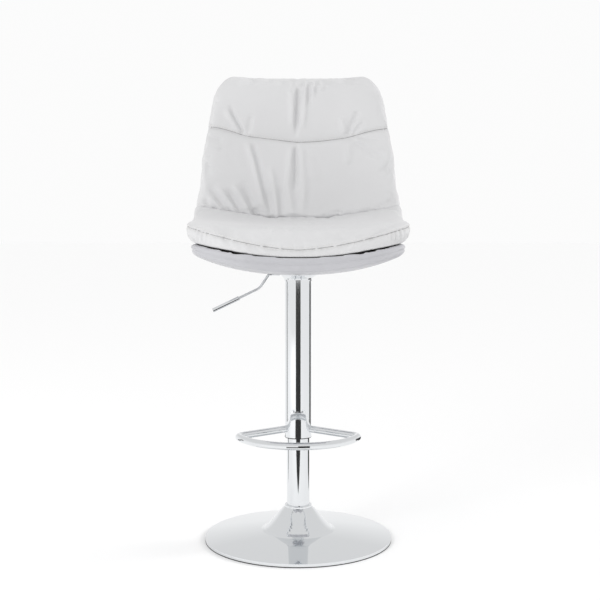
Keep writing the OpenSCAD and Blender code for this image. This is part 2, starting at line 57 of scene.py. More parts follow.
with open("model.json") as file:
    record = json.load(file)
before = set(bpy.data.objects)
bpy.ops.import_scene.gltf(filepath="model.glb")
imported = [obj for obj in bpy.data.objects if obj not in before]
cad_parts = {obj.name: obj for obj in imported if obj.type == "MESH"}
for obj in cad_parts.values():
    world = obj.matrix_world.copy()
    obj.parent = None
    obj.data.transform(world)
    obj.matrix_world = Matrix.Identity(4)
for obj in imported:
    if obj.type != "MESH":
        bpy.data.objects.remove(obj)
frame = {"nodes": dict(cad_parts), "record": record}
CAD_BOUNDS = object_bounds()
SEAT_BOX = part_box("seat_cushion")
BACK_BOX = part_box("back_cushion")
PLATE_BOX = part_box("seat_plate")
CARRIER = "seat_carrier"
MM = 0.001
TOP_PUFF = 1 * MM       # how far the covers stand over the frame's top edge
UNDERSIDE = 1.5 * MM    # gap between the covers and the face they lie on
SIDE_TUCK = 2.6 * MM    # how far a cushion's edge is drawn down below that
EASING = 1 * MM         # how far the seat's foam stays inside the frame's solid
CLOTH_FRAMES = 20


# ---------------------------------------------------------------- sizes and colours

class StoolSeatSettings(bpy.types.PropertyGroup):
    """Sizes of the upholstery"""
    seat_width: bpy.props.FloatProperty(
        name="Seat width", description="Width over the seat cushion",
        default=SEAT_BOX[1].x - SEAT_BOX[0].x, unit="LENGTH")
    back_top: bpy.props.FloatProperty(
        name="Back height", description="Height of the top edge of the backrest",
        default=BACK_BOX[1].z, unit="LENGTH")
    voxel: bpy.props.FloatProperty(
        name="Cloth grid", description="Edge length of the simulated cover",
        default=4.6 * MM, unit="LENGTH")
    pressure: bpy.props.FloatProperty(
        name="Filling pressure", description="Pressure of the foam under the cover", default=4.0)
    ease: bpy.props.FloatProperty(
        name="Ease", description="Share by which the cover is cut larger than the foam", default=0.035)
    seam_depth: bpy.props.FloatProperty(
        name="Seam depth", description="How far a seam pulls the cover in",
        default=3.2 * MM, unit="LENGTH")
    stitch_pitch: bpy.props.FloatProperty(
        name="Stitch pitch", description="Distance from one stitch to the next",
        default=6 * MM, unit="LENGTH")


class StoolFinishSettings(bpy.types.PropertyGroup):
    """Colours of the finishes, as sRGB hex values"""
    seat_hide: bpy.props.StringProperty(
        name="Cushion leather", description="Colour of the coated leather on seat and back",
        default="#D7D7D8")
    shell_hide: bpy.props.StringProperty(
        name="Shell leather", description="Colour of the coated leather on the outer shell",
        default="#BFBFC3")
    thread: bpy.props.StringProperty(
        name="Thread", description="Colour of the sewing thread", default="#E4E2DF")
    chrome: bpy.props.StringProperty(
        name="Chrome", description="Colour of the chromed steel", default="#E6E8EA")
    rubber: bpy.props.StringProperty(
        name="Rubber", description="Colour of the rubber ring", default="#161617")


class StoolStageSettings(bpy.types.PropertyGroup):
    """Camera and light"""
    camera_distance: bpy.props.FloatProperty(
        name="Camera distance", description="Distance from the column to the camera",
        default=2.595, unit="LENGTH")
    camera_height: bpy.props.FloatProperty(
        name="Camera height", description="Height of the camera over the floor",
        default=0.796, unit="LENGTH")
    camera_tilt: bpy.props.FloatProperty(
        name="Camera tilt", description="Downward tilt of the camera",
        default=radians(5.84), subtype="ANGLE")
    lens: bpy.props.FloatProperty(
        name="Lens", description="Focal length in millimetres", default=72.1)


# ---------------------------------------------------------------- nodes and materials

def linear(hex_colour):
    """sRGB hex value to a linear RGBA tuple."""
    parts = [int(hex_colour[i:i + 2], 16) / 255 for i in (1, 3, 5)]
    return tuple(c / 12.92 if c <= 0.04045 else ((c + 0.055) / 1.055) ** 2.4 for c in parts) + (1.0,)


def add(tree, kind, inputs=None, **settings):
    """Adds a node with its settings; an input is a value or a (node, output name) pair."""
    made = tree.nodes.new(kind)
    for key, value in settings.items():
        setattr(made, key, value)
    for key, value in (inputs or {}).items():
        if isinstance(value, tuple) and len(value) == 2 and isinstance(value[0], bpy.types.Node):
            tree.links.new(value[0].outputs[value[1]], made.inputs[key])
        else:
            made.inputs[key].default_value = value
    return made


def blank(name):
    """A new material with an empty node tree, its shader and its output."""
    material = bpy.data.materials.new(name)
    material.use_nodes = True
    tree = material.node_tree
    tree.nodes.clear()
    shader = add(tree, "ShaderNodeBsdfPrincipled")
    add(tree, "ShaderNodeOutputMaterial", {"Surface": (shader, "BSDF")})
    return material, tree, shader


def put(shader, **values):
    """Sets sockets of a shader; an underscore stands for a space in a socket's name."""
    for key, value in values.items():
        shader.inputs[key.replace("_", " ")].default_value = value


def span(tree, source, low, high):
    """Maps a 0 to 1 value onto low to high."""
    return add(tree, "ShaderNodeMapRange", {"Value": source, "To Min": low, "To Max": high})


def coated_leather(name, colour):
    """Polyurethane coated leather: a pebbled grain under a soft satin film."""
    material, tree, shader = blank(name)
    place = add(tree, "ShaderNodeTexCoord")
    # pebbles of about 1.2 mm, a little coarser than real ones so that they read
    grain = add(tree, "ShaderNodeTexVoronoi", {"Vector": (place, "Object"), "Scale": 1 / (1.2 * MM)},
                feature="SMOOTH_F1")
    grain.inputs["Smoothness"].default_value = 0.6
    # hide creases about 9 mm apart
    crease = add(tree, "ShaderNodeTexNoise",
                 {"Vector": (place, "Object"), "Scale": 1 / (9 * MM), "Detail": 4.0, "Roughness": 0.6})
    # tone drifts over about 120 mm
    cloud = add(tree, "ShaderNodeTexNoise",
                {"Vector": (place, "Object"), "Scale": 1 / (120 * MM), "Detail": 2.0})
    base = linear(colour)
    dark = tuple(c * 0.93 for c in base[:3]) + (1.0,)
    tone = add(tree, "ShaderNodeMix", {"Factor": (cloud, "Fac")}, data_type="RGBA")
    # sockets 6 and 7 are the colours A and B
    tone.inputs[6].default_value = dark
    tone.inputs[7].default_value = base
    tree.links.new(tone.outputs[2], shader.inputs["Base Color"])
    gloss = span(tree, (crease, "Fac"), 0.36, 0.52)
    tree.links.new(gloss.outputs[0], shader.inputs["Roughness"])
    pebble = add(tree, "ShaderNodeBump",
                 {"Height": (grain, "Distance"), "Strength": 0.16, "Distance": 0.25 * MM})
    wrinkle = add(tree, "ShaderNodeBump",
                  {"Height": (crease, "Fac"), "Strength": 0.18, "Distance": 0.7 * MM,
                   "Normal": (pebble, "Normal")})
    tree.links.new(wrinkle.outputs[0], shader.inputs["Normal"])
    put(shader, IOR=1.48, Coat_Weight=0.12, Coat_Roughness=0.3, Sheen_Weight=0.08, Sheen_Roughness=0.5)
    return material


def plated_chrome(name, colour, rough):
    """Bright chrome plate on polished steel: a near mirror with a faint polishing haze."""
    material, tree, shader = blank(name)
    place = add(tree, "ShaderNodeTexCoord")
    haze = add(tree, "ShaderNodeTexNoise",
               {"Vector": (place, "Object"), "Scale": 1 / (35 * MM), "Detail": 3.0})
    blur = span(tree, (haze, "Fac"), rough * 0.6, rough * 1.5)
    tree.links.new(blur.outputs[0], shader.inputs["Roughness"])
    put(shader, Base_Color=linear(colour), Metallic=1.0)
    return material


def turned_steel(name, colour):
    """Zinc plated steel, as rolled or turned: dull grey with fine drawn lines."""
    material, tree, shader = blank(name)
    place = add(tree, "ShaderNodeTexCoord")
    # drawn lines about 0.8 mm apart, stretched along the height
    lines = add(tree, "ShaderNodeMapping", {"Vector": (place, "Object"), "Scale": (1.0, 1.0, 0.06)})
    grain = add(tree, "ShaderNodeTexNoise",
                {"Vector": (lines, "Vector"), "Scale": 1 / (0.8 * MM), "Detail": 3.0})
    blur = span(tree, (grain, "Fac"), 0.28, 0.48)
    tree.links.new(blur.outputs[0], shader.inputs["Roughness"])
    bump = add(tree, "ShaderNodeBump", {"Height": (grain, "Fac"), "Strength": 0.12, "Distance": 0.1 * MM})
    tree.links.new(bump.outputs[0], shader.inputs["Normal"])
    put(shader, Base_Color=linear(colour), Metallic=1.0)
    return material


def moulded(name, colour, rough, grit_mm):
    """Moulded rubber or nylon: an even dark body with a fine spark-eroded grit."""
    material, tree, shader = blank(name)
    place = add(tree, "ShaderNodeTexCoord")
    grit = add(tree, "ShaderNodeTexNoise",
               {"Vector": (place, "Object"), "Scale": 1 / (grit_mm * MM), "Detail": 2.0})
    blur = span(tree, (grit, "Fac"), rough - 0.08, rough + 0.08)
    tree.links.new(blur.outputs[0], shader.inputs["Roughness"])
    bump = add(tree, "ShaderNodeBump", {"Height": (grit, "Fac"), "Strength": 0.2, "Distance": 0.15 * MM})
    tree.links.new(bump.outputs[0], shader.inputs["Normal"])
    put(shader, Base_Color=linear(colour), IOR=1.52)
    return material


def beech_ply(name):
    """Moulded beech plywood in a near-black tone that is painted shade, so that its edge in the gap under the
    covers reads as a shadow, with long grain lines.
    """
    material, tree, shader = blank(name)
    place = add(tree, "ShaderNodeTexCoord")
    along = add(tree, "ShaderNodeMapping", {"Vector": (place, "Object"), "Scale": (1.0, 0.08, 1.0)})
    rings = add(tree, "ShaderNodeTexNoise",
                {"Vector": (along, "Vector"), "Scale": 1 / (3 * MM), "Detail": 5.0})
    tone = add(tree, "ShaderNodeValToRGB", {"Fac": (rings, "Fac")})
    # near-black tones: painted shade for the board's edge in the parting gap
    tone.color_ramp.elements[0].color = linear("#2C2724")
    tone.color_ramp.elements[1].color = linear("#3F3833")
    tree.links.new(tone.outputs[0], shader.inputs["Base Color"])
    put(shader, Roughness=0.6, IOR=1.5)
    return material


# ---------------------------------------------------------------- the bucket's form

def bezier(handles, t):
    """Points of a cubic curve in the side plane, as (y, z) rows."""
    p = np.array(handles) * MM
    t = np.asarray(t)[..., None]
    return (1 - t) ** 3 * p[0] + 3 * (1 - t) ** 2 * t * p[1] + 3 * (1 - t) * t * t * p[2] + t ** 3 * p[3]


def end_share(d, power):
    """Share of the width left at distance d (0 to 1) from a rounded end."""
    return (1 - (1 - np.clip(d, 0, 1)) ** power) ** (1 / power)


class Bucket:
    """The face between board and cushions: u is 0 at the front, 1 at the corner, 2 at the top."""
    # handles of the side curve of the seat, as (y, z) in mm
    corner = (165.0, 662.0)
    seat = ((-212, 640), (-120, 612), (115, 617), corner)
    # tilt of the face at the corner, and what it gains up to the top, in degrees
    corner_tilt = 45
    back_tilt = 37
    # rise of the sides over the middle, in mm: front of the seat, its gain to the corner, and the back
    side_rise = 44
    rear_rise = 8
    back_wrap = 52
    wrap_loss = 0.55
    dish_power = 2.2
    # outline seen from above and from the front: shares of the width and of u, and lengths in mm
    front_share = 0.26
    front_length = 0.32
    front_power = 2.4
    back_taper = 46
    taper_power = 2.4
    top_corner = 40
    top_length = 0.13
    # length in metres of one step of u, for points past either end
    reach = 0.36

    def __init__(self, width, top):
        self.half = width / 2
        self.back = (self.corner, (192, 686), (201, 830), (222, top / MM))

    def spine(self, u):
        u = np.asarray(u, float)
        on_seat = bezier(self.seat, np.clip(u, 0, 1))
        on_back = bezier(self.back, np.clip(u - 1, 0, 1))
        return np.where((u <= 1)[..., None], on_seat, on_back)

    def tilt(self, u):
        u = np.asarray(u, float)
        return np.radians(np.where(u <= 1, self.corner_tilt * u * u,
                                   self.corner_tilt + self.back_tilt * (u - 1)))

    def rise(self, u):
        u = np.asarray(u, float)
        return np.where(u <= 1, self.side_rise + self.rear_rise * u ** 3,
                        self.back_wrap * (1 - self.wrap_loss * np.clip(u - 1, 0, 1) ** 3)) * MM

    def half_width(self, u):
        u = np.asarray(u, float)
        front = self.half * (self.front_share + (1 - self.front_share)
                             * end_share(u / self.front_length, self.front_power))
        taper = self.back_taper * MM * np.clip(u - 1, 0, 1) ** self.taper_power
        cut = self.top_corner * MM * (1 - end_share((2 - u) / self.top_length, 2))
        return np.where(u <= 1, front, self.half - taper - cut)

    def at(self, x, u, n):
        """Points at x across, u along and n out of the face."""
        x, u, n = np.broadcast_arrays(np.asarray(x, float), np.asarray(u, float), np.asarray(n, float))
        p = self.spine(u)
        a = self.tilt(u)
        h = n + self.rise(u) * (np.abs(x) / self.half) ** self.dish_power
        return np.stack([x, p[..., 0] - h * np.sin(a), p[..., 1] + h * np.cos(a)], -1)

    def locate(self, points):
        """The (x, u, n) of points near the face."""
        rows = np.linspace(-0.08, 2.06, 600)
        inside = np.clip(rows, 0, 2)
        p = self.spine(inside)
        p[:, 0] += self.reach * np.minimum(rows, 0)
        p[:, 1] += self.reach * np.maximum(rows - 2, 0)
        a = self.tilt(inside)
        along = np.stack([np.cos(a), np.sin(a)], -1)
        dy = points[:, 1][:, None] - p[None, :, 0]
        dz = points[:, 2][:, None] - p[None, :, 1]
        off = dy * along[None, :, 0] + dz * along[None, :, 1]
        k = np.abs(off).argmin(1)
        pick = np.arange(len(points))
        u = rows[k]
        h = -dy[pick, k] * np.sin(a[k]) + dz[pick, k] * np.cos(a[k])
        n = h - self.rise(inside[k]) * (np.abs(points[:, 0]) / self.half) ** self.dish_power
        return points[:, 0], u, n


def bucket():
    """The bucket's form at the sizes that are set."""
    sizes = bpy.context.scene.stool_seat
    return Bucket(sizes.seat_width, sizes.back_top + TOP_PUFF)


# ---------------------------------------------------------------- mesh helpers

def new_object(name, points, faces):
    """A mesh object, linked to the scene."""
    mesh = bpy.data.meshes.new(name)
    mesh.from_pydata([tuple(p) for p in points], [], faces)
    mesh.update()
    made = bpy.data.objects.new(name, mesh)
    bpy.context.scene.collection.objects.link(made)
    return made


def skin(name, rings):
    """Closed skin through closed rings with the same number of points."""
    m = len(rings[0])
    last = len(rings) - 1
    faces = [(r * m + i, (r + 1) * m + i, (r + 1) * m + (i + 1) % m, r * m + (i + 1) % m)
             for r in range(last) for i in range(m)]
    faces.append(tuple(range(m)))
    faces.append(tuple(last * m + i for i in reversed(range(m))))
    made = new_object(name, np.concatenate(rings), faces)
    tidy = bmesh.new()
    tidy.from_mesh(made.data)
    bmesh.ops.recalc_face_normals(tidy, faces=tidy.faces)
    tidy.to_mesh(made.data)
    tidy.free()
    return made


def apply_modifier(piece, kind, **settings):
    """Adds a modifier and takes over its mesh at once."""
    modifier = piece.modifiers.new(kind.lower(), kind)
    for key, value in settings.items():
        setattr(modifier, key, value)
    bake(piece)


def bake(piece):
    """Replaces a piece's mesh by what its modifiers make of it."""
    graph = bpy.context.evaluated_depsgraph_get()
    graph.update()
    mesh = bpy.data.meshes.new_from_object(piece.evaluated_get(graph))
    old = piece.data
    piece.modifiers.clear()
    piece.data = mesh
    bpy.data.meshes.remove(old)


def coordinates(piece):
    """Vertex positions as rows."""
    co = np.empty(len(piece.data.vertices) * 3)
    piece.data.vertices.foreach_get("co", co)
    return co.reshape(-1, 3)


def normals(piece):
    """Vertex normals as rows."""
    no = np.empty(len(piece.data.vertices) * 3, np.float32)
    piece.data.vertex_normals.foreach_get("vector", no)
    return no.reshape(-1, 3).astype(float)


def set_coordinates(piece, co):
    """Moves the vertices to the rows of co."""
    piece.data.vertices.foreach_set("co", co.ravel())
    piece.data.update()


def surface(piece):
    """Search tree of a piece's faces."""
    return BVHTree.FromPolygons([v.co.copy() for v in piece.data.vertices],
                                [tuple(p.vertices) for p in piece.data.polygons])


def inflate(piece, form, cap, held):
    """Swells a cover with foam pressure by cloth simulation and caps how far it moves.

    The cover is stapled along its underside, where n is below held, and it is cut a
    little larger than the foam, so that it settles in loose folds."""
    sizes = bpy.context.scene.stool_seat
    apply_modifier(piece, "REMESH", mode="VOXEL", voxel_size=sizes.voxel, use_smooth_shade=True)
    start = coordinates(piece)
    _, _, n = form.locate(start)
    stapled = piece.vertex_groups.new(name="stapled")
    stapled.add(np.flatnonzero(n < held).tolist(), 1.0, "REPLACE")
    cloth = piece.modifiers.new("cover", "CLOTH")
    cloth.settings.vertex_group_mass = "stapled"
    cloth.settings.use_pressure = True
    cloth.settings.uniform_pressure_force = sizes.pressure
    cloth.settings.shrink_min = -sizes.ease
    cloth.settings.effector_weights.gravity = 0
    cloth.settings.quality = 4
    cloth.settings.tension_stiffness = 12
    cloth.settings.compression_stiffness = 12
    cloth.settings.bending_stiffness = 0.6
    scene = bpy.context.scene
    for step in range(1, CLOTH_FRAMES + 1):
        scene.frame_set(step)
    bake(piece)
    scene.frame_set(1)
    moved = coordinates(piece) - start
    length = np.linalg.norm(moved, axis=1, keepdims=True)
    set_coordinates(piece, start + moved * np.minimum(1, cap / np.maximum(length, 1e-9)))
    apply_modifier(piece, "SUBSURF", levels=1, render_levels=1)


def smooth(piece):
    """Smooth shading on every face."""
    piece.data.polygons.foreach_set("use_smooth", [True] * len(piece.data.polygons))


def to_line(points, line):
    """Distance of 2D points from an open line, and how far along it (0 to 1) they lie."""
    line = np.array(line, float)
    best = np.full(len(points), 1e9)
    share = np.zeros(len(points))
    lengths = np.linalg.norm(np.diff(line, axis=0), axis=1)
    total = lengths.sum()
    done = 0.0
    for a, b, length in zip(line[:-1], line[1:], lengths):
        v = b - a
        t = np.clip((points - a) @ v / (v @ v), 0, 1)
        d = np.linalg.norm(points - a - t[:, None] * v, axis=1)
        near = d < best
        best[near] = d[near]
        share[near] = (done + t[near] * length) / total
        done += length
    return best, share


def curved(line, steps=24):
    """A smooth curve through a few points, as many points."""
    line = np.array(line, float)
    keys = np.concatenate([[0], np.cumsum(np.linalg.norm(np.diff(line, axis=0), axis=1))])
    want = np.linspace(0, keys[-1], steps)
    fine = np.stack([np.interp(want, keys, line[:, i]) for i in range(line.shape[1])], 1)
    for _ in range(3):
        fine[1:-1] = (fine[:-2] + 2 * fine[1:-1] + fine[2:]) / 4
    return fine


def fold(points, line, height, width):
    """Height field of a fold along a line; it fades in over 15 % of its length and out over 30 %."""
    d, share = to_line(points, curved(line))
    fade = np.clip(share / 0.15, 0, 1) * np.clip((1 - share) / 0.3, 0, 1)
    fade = fade * fade * (3 - 2 * fade)
    return height * fade * np.exp(-(d / width) ** 2)


def groove(d, depth, width):
    """Section of a sewn seam: a narrow valley in a wider dip."""
    return -depth * (0.6 * np.exp(-(d / width) ** 2) + 0.4 * np.exp(-(d / (3.4 * width)) ** 2))


def stitches(name, centres, along, out, length, thick):
    """One mesh of short thread beads lying on a cover: two points and two square sections each."""
    points, faces = [], []
    for c, t, o in zip(centres, along, out):
        t = t / np.linalg.norm(t)
        o = o / np.linalg.norm(o)
        s = np.cross(t, o)
        k = len(points)
        lift = c + o * thick * 0.25
        points += [lift - t * length / 2, lift + t * length / 2]
        for share in (-0.3, 0.3):
            mid = lift + t * length * share
            points += [mid + s * thick / 2, mid + o * thick / 2, mid - s * thick / 2, mid - o * thick / 2]
        for i in range(4):
            j = (i + 1) % 4
            faces += [(k, k + 2 + j, k + 2 + i), (k + 1, k + 6 + i, k + 6 + j),
                      (k + 2 + i, k + 2 + j, k + 6 + j, k + 6 + i)]
    return new_object(name, points, faces)


def sew(name, piece, route, offsets):
    """Rows of stitches that follow a route on a cover, at some heights above or below it."""
    pitch = bpy.context.scene.stool_seat.stitch_pitch
    tree = surface(piece)
    centres, along, out = [], [], []
    keys = np.concatenate([[0], np.cumsum(np.linalg.norm(np.diff(route, axis=0), axis=1))])
    for offset in offsets:
        for i in range(int(keys[-1] / pitch)):
            s = (i + 0.5) * pitch
            p = np.array([np.interp(s, keys, route[:, k]) for k in range(3)])
            q = np.array([np.interp(s + pitch * 0.3, keys, route[:, k]) for k in range(3)])
            hit, normal, _, _ = tree.find_nearest(Vector(p) + Vector((0, 0, offset)))
            centres.append(np.array(hit))
            out.append(np.array(normal))
            along.append(q - p)
    made = stitches(name, centres, along, out, pitch * 0.62, 0.9 * MM)
    made.data.materials.append(bpy.data.materials["Polyester sewing thread"])
    smooth(made)
    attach(made, CARRIER)


def landed(piece, route):
    """Nearest points of a cover to a route, with the cover's directions there."""
    tree = surface(piece)
    found = [tree.find_nearest(Vector(p)) for p in route]
    return np.array([f[0] for f in found]), np.array([f[1] for f in found])


def cast(piece, starts, ways):
    """Where straight lines first meet a cover."""
    tree = surface(piece)
    hits = [tree.ray_cast(Vector(start), Vector(way))[0] for start, way in zip(starts, ways)]
    return np.array([hit for hit in hits if hit is not None])


def seam_shadow_line(name, piece, route, width=1.3 * MM):
    """Painted shade of the narrow gap between two sewn panels: a thin dark bead laid in the groove."""
    points, out = landed(piece, route)
    along = np.gradient(points, axis=0)
    along /= np.maximum(np.linalg.norm(along, axis=1, keepdims=True), 1e-9)
    side = np.cross(along, out)
    ring = np.linspace(0, tau, 7)[:-1]
    rows = [c + width / 2 * (np.outer(np.cos(ring), a) + 0.6 * np.outer(np.sin(ring), b))
            for c, a, b in zip(points, side, out)]
    made = skin(name, rows)
    made.data.materials.append(bpy.data.materials["Painted seam shadow"])
    smooth(made)
    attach(made, CARRIER)


def finish_cover(piece, node, material):
    """Gives a cover its leather, and puts it in the place of the frame's plain solid."""
    smooth(piece)
    piece.data.materials.clear()
    piece.data.materials.append(bpy.data.materials[material])
    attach(piece, CARRIER)
    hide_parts(node)


# ---------------------------------------------------------------- cushion forms

def pad_ring(form, u, inset, side, crown, round_r):
    """Ring of a cushion: flat underside, bulged sides and a crowned top."""
    w = float(form.half_width(u)) - inset
    across = np.linspace(-1, 1, 41)
    r = min(round_r, side * 0.48, w * 0.5)
    tuck = np.clip((np.abs(across) - 0.8) / 0.15, float(u < 0.04), 1)
    low = form.at(across * (w - r * 0.5), u, UNDERSIDE - SIDE_TUCK * tuck)
    corner = np.linspace(-pi / 2, pi / 2, 9)
    foot = UNDERSIDE - SIDE_TUCK
    mid = (side + foot) / 2
    tall = (side - foot) / 2
    right = form.at(w - r * 0.5 + r * 0.5 * np.cos(corner), u, mid + tall * np.sin(corner))
    top_x = across[::-1] * (w - r * 0.5)
    top = form.at(top_x, u, side + (crown - side) * (1 - np.abs(across[::-1]) ** 2.5))
    left = form.at(-(w - r * 0.5 + r * 0.5 * np.cos(corner)), u, mid + tall * np.sin(-corner))
    return np.concatenate([low, right[1:-1], top, left[1:-1]])


def eased(first, last, steps):
    """Values from first to last that lie closer together at both ends."""
    return first + (last - first) * (1 - np.cos(np.linspace(0, pi, steps))) / 2


def band_height(form, x):
    """Height of the boxing seam over the seat's face: 12 mm in the middle, 26 mm at the sides."""
    return (12 + 14 * np.clip(np.abs(x) / form.half, 0, 1)) * MM


class STOOL_OT_seat_cushion(bpy.types.Operator):
    """Seat cushion: crowned top panel over a boxing band with a twin-stitched seam"""
    bl_idname = "stool.seat_cushion"
    bl_label = "Seat cushion"

    def execute(self, context):
        sizes = context.scene.stool_seat
        form = bucket()
        rings = []
        for u in eased(0.006, 0.988, 60):
            front = float(end_share(u / 0.36, 1.9))
            rear = 1 - 0.12 * u ** 8
            # 20 mm thick at the front edge, 65 mm in the middle, 39 mm at the sides and more at the corner
            crown = (20 + 45 * front * rear) * MM - EASING
            side = (20 + 19 * front + 26 * u ** 4) * MM - EASING
            rings.append(pad_ring(form, u, EASING, side, crown, 30 * MM))
        piece = skin("seat_cushion_cover", rings)
        inflate(piece, form, 7 * MM, 4 * MM)
        co = coordinates(piece)
        out = normals(piece)
        x, u, n = form.locate(co)
        band = band_height(form, x)
        facing = np.clip(1 - np.abs(out[:, 2]) * 1.2, 0, 1)
        rim = np.clip((facing - 0.15) / 0.4, 0, 1) * (u < 0.97)
        field = rim * groove(n - band, sizes.seam_depth, 2.2 * MM)
        # gathers in the band at both ends of the front
        place = np.clip(1 - np.abs(np.abs(x) - 0.2) / 0.03, 0, 1) * (n < band) * rim * (co[:, 1] < -0.02)
        field += place * 1.7 * MM * np.sin(x / (9 * MM) * tau)
        flat = np.stack([x, u * form.reach], 1)
        top = np.clip((out[:, 2] - 0.3) / 0.3, 0, 1)
        for line, height, width in SEAT_FOLDS:
            field += top * fold(flat, np.array(line) * (MM, form.reach), height * MM, width * MM)
        # folds of the sitting area where it meets the back
        rear = np.clip((u - 0.8) / 0.18, 0, 1) * top
        field += rear * 0.8 * MM * np.sin(x / (26 * MM) * tau) * np.exp(-(x / 0.15) ** 2)
        set_coordinates(piece, co + out * field[:, None])
        finish_cover(piece, "seat_cushion", "Polyurethane leather, seat")
        # the seam runs up one side, across the front and up the other side
        rows = eased(0.006, 0.9, 90)
        wide = [float(form.half_width(row)) for row in rows]
        around = [(-w, row) for w, row in zip(wide, rows)][::-1]
        around += [(w, 0.006) for w in np.linspace(-wide[0], wide[0], 30)[1:-1]] + list(zip(wide, rows))
        route = np.array([form.at(w, row, band_height(form, w)) for w, row in around])
        # each point is found from outside, level with the seam, so that the line stays fair
        away = np.cross(np.gradient(route, axis=0), (0, 0, 1))
        away /= np.linalg.norm(away, axis=1, keepdims=True)
        away *= np.sign(np.sum(away * (route - (0, 0.02, 0)) * (1, 1, 0), axis=1, keepdims=True))
        route = cast(piece, route + away * 50 * MM, -away)
        # dark bead along the seam: painted shade of its gap
        seam_shadow_line("seat_seam_shadow", piece, route)
        sew("seat_stitches", piece, route, (4 * MM, -3.6 * MM))
        return {"FINISHED"}


# Folds of the seat top as ([x in mm, u] points, height in mm, width in mm)
SEAT_FOLDS = (
    (((42, 0.93), (75, 0.84), (112, 0.74)), -1.6, 7),
    (((38, 0.86), (70, 0.77), (100, 0.68)), 1.3, 8),
    (((-52, 0.92), (-38, 0.8), (-20, 0.72)), -1.2, 8),
    (((14, 0.7), (26, 0.63), (30, 0.55)), -1.5, 8),
    (((-66, 0.2), (-60, 0.12), (-58, 0.05)), 1.6, 5),
    (((-48, 0.24), (-46, 0.15), (-50, 0.09)), -1.3, 6),
    (((-30, 0.2), (-27, 0.11), (-25, 0.04)), 1.7, 5),
    (((-14, 0.22), (-17, 0.14), (-20, 0.07)), -1.2, 6),
    (((-4, 0.25), (8, 0.2), (14, 0.18)), 1.0, 5),
    (((-128, 0.8), (-122, 0.66), (-126, 0.55)), -0.9, 9),
    (((150, 0.85), (162, 0.7), (158, 0.5)), -0.8, 10),
)

# Seam across the back and its folds, in millimetres across (x) and up (z)
BACK_SEAM = ((-206, 909), (-185, 908), (-150, 899), (-121, 889), (-100, 886), (-50, 880), (0, 874),
             (50, 877), (100, 883), (116, 886), (150, 896), (175, 902), (206, 906))
FOLD_GAIN = 1.7
BACK_FOLDS = (
    # middle crease from top to bottom
    (((0, 1012), (1, 985), (-3, 940), (-5, 880)), -4.5, 5),
    (((-4, 874), (-6, 850), (-5, 800), (-7, 755)), -3.6, 5),
    (((-14, 872), (-18, 840), (-24, 780), (-14, 720), (-6, 690)), 2.6, 8),
    (((7, 870), (9, 830), (14, 780), (10, 720), (6, 690)), 2.0, 8),
    (((-16, 1005), (-14, 960), (-12, 900)), 2.4, 7),
    # gathers at the top
    (((14, 1016), (16, 980), (14, 930), (10, 900)), 2.4, 5),
    (((8, 1018), (9, 995), (8, 975)), -2.0, 4),
    (((25, 1018), (25, 985), (24, 950)), -2.4, 5),
    (((33, 1018), (34, 992), (34, 972)), 1.8, 4.5),
    (((41, 1018), (42, 998), (42, 982)), -1.8, 4.5),
    (((49, 1018), (50, 1000), (52, 986)), 1.6, 4.5),
    (((59, 1018), (60, 1002), (62, 992)), -1.4, 5),
    (((-12, 1018), (-12, 1000), (-16, 985)), -1.6, 5),
    # tuck on the left and the folds that run from it
    (((-120, 892), (-132, 912), (-146, 936), (-158, 962)), -3.4, 5.5),
    (((-128, 893), (-142, 914), (-158, 938), (-168, 955)), 2.2, 7),
    (((-116, 892), (-110, 912), (-106, 940)), -1.6, 6),
    (((-118, 884), (-106, 850), (-97, 815), (-87, 770), (-77, 725), (-72, 694)), 3.0, 8),
    (((-108, 878), (-94, 845), (-84, 800), (-73, 755), (-66, 720)), -2.4, 7),
    # tuck on the right and the folds that run from it
    (((113, 888), (118, 908), (128, 930), (138, 950)), -2.8, 5.5),
    (((120, 888), (134, 906), (152, 924)), -1.8, 5),
    (((105, 892), (101, 915), (97, 935)), 1.8, 7),
    (((112, 882), (114, 855), (112, 820)), 1.6, 9),
    (((122, 880), (146, 862), (170, 846), (203, 836)), -1.8, 6),
    (((124, 884), (150, 874), (176, 864), (205, 860)), 1.4, 5),
    (((128, 886), (160, 884), (205, 878)), -1.4, 5),
    # diagonal folds on the lower left
    (((-46, 690), (-50, 735), (-56, 780), (-66, 830)), 2.8, 8),
    (((-58, 692), (-64, 735), (-70, 775)), -2.4, 7),
    (((-34, 690), (-38, 740), (-42, 780)), -1.8, 8),
    (((-90, 692), (-98, 722), (-112, 757), (-132, 790)), -3.0, 7),
    (((-104, 694), (-114, 722), (-132, 756), (-152, 786)), 3.0, 7),
    (((-120, 697), (-130, 722), (-146, 748), (-166, 775)), -3.2, 6.5),
    (((-134, 702), (-146, 724), (-165, 752), (-188, 782)), 2.6, 7),
    (((-150, 708), (-162, 728), (-182, 754), (-206, 780)), -2.6, 6.5),
    (((-168, 714), (-182, 732), (-204, 756)), 2.2, 6),
    (((-182, 718), (-196, 734), (-214, 752)), -2.0, 6),
    # edges
    (((-206, 888), (-188, 884), (-168, 874)), -1.5, 5),
    (((-208, 872), (-190, 866), (-172, 858)), 1.2, 6),
    (((-210, 850), (-192, 842)), -1.0, 6),
    (((210, 745), (196, 738), (176, 732)), -1.4, 6),
    (((212, 765), (200, 758)), 1.0, 6),
    (((206, 815), (196, 808)), -1.2, 5),
    (((150, 712), (162, 726), (170, 740)), -1.2, 7),
    (((20, 850), (34, 815), (42, 785)), 0.9, 12),
)


